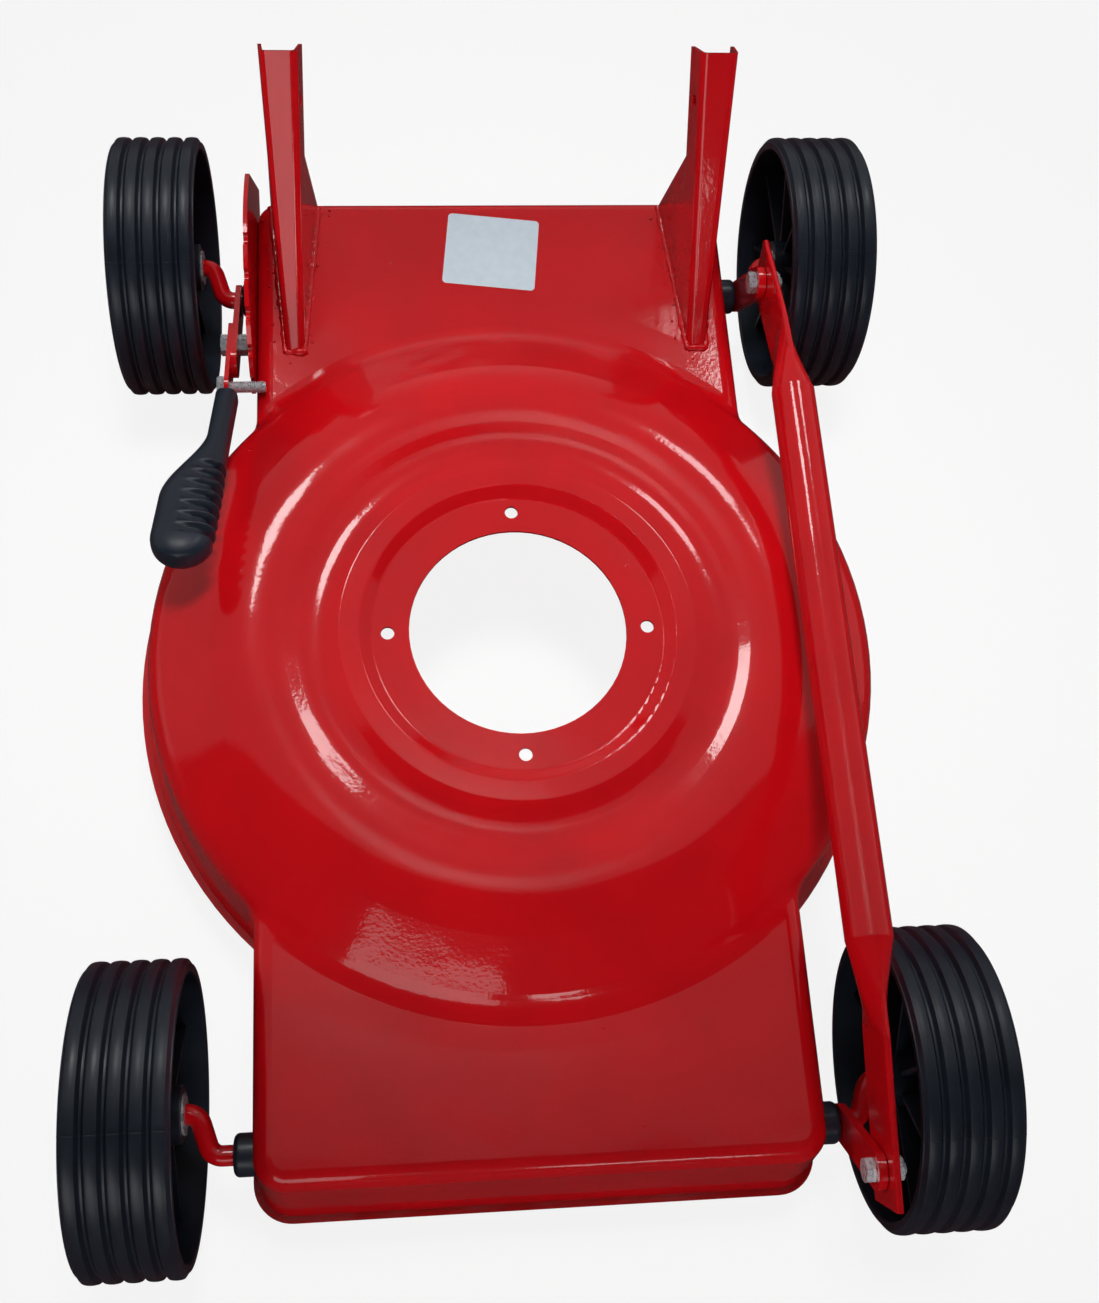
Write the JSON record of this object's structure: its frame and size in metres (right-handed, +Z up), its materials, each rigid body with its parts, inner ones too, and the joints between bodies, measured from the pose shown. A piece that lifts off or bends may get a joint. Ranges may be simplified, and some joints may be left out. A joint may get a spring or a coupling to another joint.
{
  "type": "lawn mower deck",
  "caption": "Pressed steel deck of a walk-behind rotary mower with round engine seat, ribbed wheels on cranked axles, link rod, height lever and handle brackets.",
  "frame": {"origin": "centre of the engine hole on the top face of the engine seat", "axes": "+Z up along the engine shaft, +Y to the rear where the handle goes, +X to the side of the link rod"},
  "size_m": [0.527, 0.769, 0.2692],
  "materials": {
    "red_enamel": "gloss red enamel on steel",
    "black_plastic": "satin black moulded plastic",
    "black_wheel": "satin black moulded wheel plastic",
    "zinc_steel": "bright zinc plating"
  },
  "bodies": {
    "deck": {"deck_shell": "red_enamel", "handle_bracket_left": "red_enamel", "handle_bracket_right": "red_enamel", "height_quadrant": "red_enamel", "axle_bush_front_left": "black_plastic", "axle_bush_front_right": "black_plastic", "axle_bush_rear_left": "black_plastic", "axle_bush_rear_right": "black_plastic"},
    "rear_axle_set": {"rear_axle": "red_enamel", "rear_link_arm": "red_enamel", "lever_arm": "red_enamel", "height_lever": "red_enamel", "lever_grip": "black_plastic", "lever_bolt": "zinc_steel", "lever_nut": "zinc_steel", "lever_lock_pin": "zinc_steel", "link_bolt_rear": "zinc_steel", "link_nut_rear": "zinc_steel", "inner_washer_rear_left": "zinc_steel", "inner_washer_rear_right": "zinc_steel", "outer_washer_rear_left": "zinc_steel", "outer_washer_rear_right": "zinc_steel", "wheel_nut_rear_left": "zinc_steel", "wheel_nut_rear_right": "zinc_steel"},
    "front_axle_set": {"front_axle": "red_enamel", "front_link_arm": "red_enamel", "link_bolt_front": "zinc_steel", "link_nut_front": "zinc_steel", "inner_washer_front_left": "zinc_steel", "inner_washer_front_right": "zinc_steel", "outer_washer_front_left": "zinc_steel", "outer_washer_front_right": "zinc_steel", "wheel_nut_front_left": "zinc_steel", "wheel_nut_front_right": "zinc_steel"},
    "link": {"link_rod": "red_enamel"},
    "wheel_front_left": {"wheel_front_left": "black_wheel"},
    "wheel_front_right": {"wheel_front_right": "black_wheel"},
    "wheel_rear_left": {"wheel_rear_left": "black_wheel"},
    "wheel_rear_right": {"wheel_rear_right": "black_wheel"}
  },
  "joints": [
    {"name": "rear_axle_pivot", "type": "hinge", "parent": "deck", "child": "rear_axle_set", "pos_m": [0, 0.285, -0.056], "axis": [1, 0, 0], "range_deg": [-60, 0]},
    {"name": "front_axle_pivot", "type": "hinge", "parent": "deck", "child": "front_axle_set", "pos_m": [0, -0.304, -0.056], "axis": [1, 0, 0], "range_deg": [-60, 0]},
    {"name": "link_pivot", "type": "hinge", "parent": "rear_axle_set", "child": "link", "pos_m": [0.188, 0.255, 0.005], "axis": [1, 0, 0], "range_deg": [0, 60]},
    {"name": "wheel_front_left_spin", "type": "hinge", "parent": "front_axle_set", "child": "wheel_front_left", "pos_m": [-0.234, -0.28, -0.05], "axis": [1, 0, 0], "continuous": true},
    {"name": "wheel_front_right_spin", "type": "hinge", "parent": "front_axle_set", "child": "wheel_front_right", "pos_m": [0.234, -0.28, -0.05], "axis": [1, 0, 0], "continuous": true},
    {"name": "wheel_rear_left_spin", "type": "hinge", "parent": "rear_axle_set", "child": "wheel_rear_left", "pos_m": [-0.234, 0.309, -0.05], "axis": [1, 0, 0], "continuous": true},
    {"name": "wheel_rear_right_spin", "type": "hinge", "parent": "rear_axle_set", "child": "wheel_rear_right", "pos_m": [0.234, 0.309, -0.05], "axis": [1, 0, 0], "continuous": true}
  ],
  "couplings": [
    {"joint": "front_axle_pivot", "follows": "rear_axle_pivot", "ratio": 1},
    {"joint": "link_pivot", "follows": "rear_axle_pivot", "ratio": -1}
  ]
}
